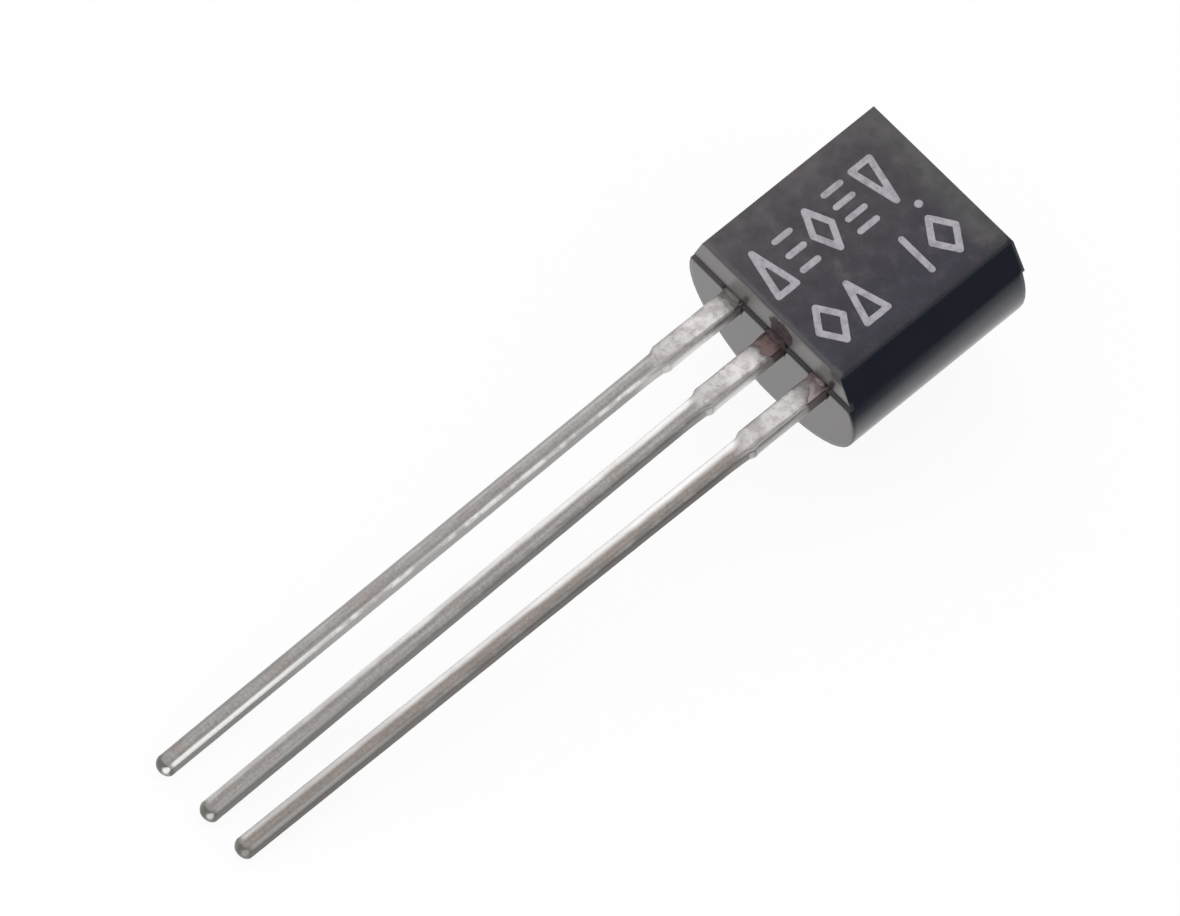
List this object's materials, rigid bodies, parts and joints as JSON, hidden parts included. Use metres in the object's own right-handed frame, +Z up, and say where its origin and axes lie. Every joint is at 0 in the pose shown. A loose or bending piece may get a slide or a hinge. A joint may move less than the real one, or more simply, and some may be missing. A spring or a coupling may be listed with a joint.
{
  "type": "three-lead transistor",
  "caption": "Small black D-section transistor with straight tinned leads, lying at rest with its flat face up.",
  "frame": {"origin": "on the surface that it lies on, under the middle of the whole part", "axes": "+X across the leads, from the left lead to the right one as seen facing the flat with the leads towards the viewer; +Y from the lead tips to the body; +Z up, out of the flat face"},
  "size_m": [0.0048, 0.0195, 0.0048],
  "materials": {
    "epoxy": "black epoxy moulding compound, fine matte on the marking face and smooth on the drafted sides",
    "tinned_lead": "dipped tin coat over copper, lumpy on the stiff part by the body and faintly drawn along the lead",
    "silicon": "polished silicon",
    "gold": "bright gold"
  },
  "bodies": {
    "root": {"body": "epoxy", "emitter_lead": "tinned_lead", "collector_lead": "tinned_lead", "base_lead": "tinned_lead", "silicon_die": "silicon", "die_bond": "gold", "emitter_wire": "gold", "base_wire": "gold"}
  },
  "joints": []
}
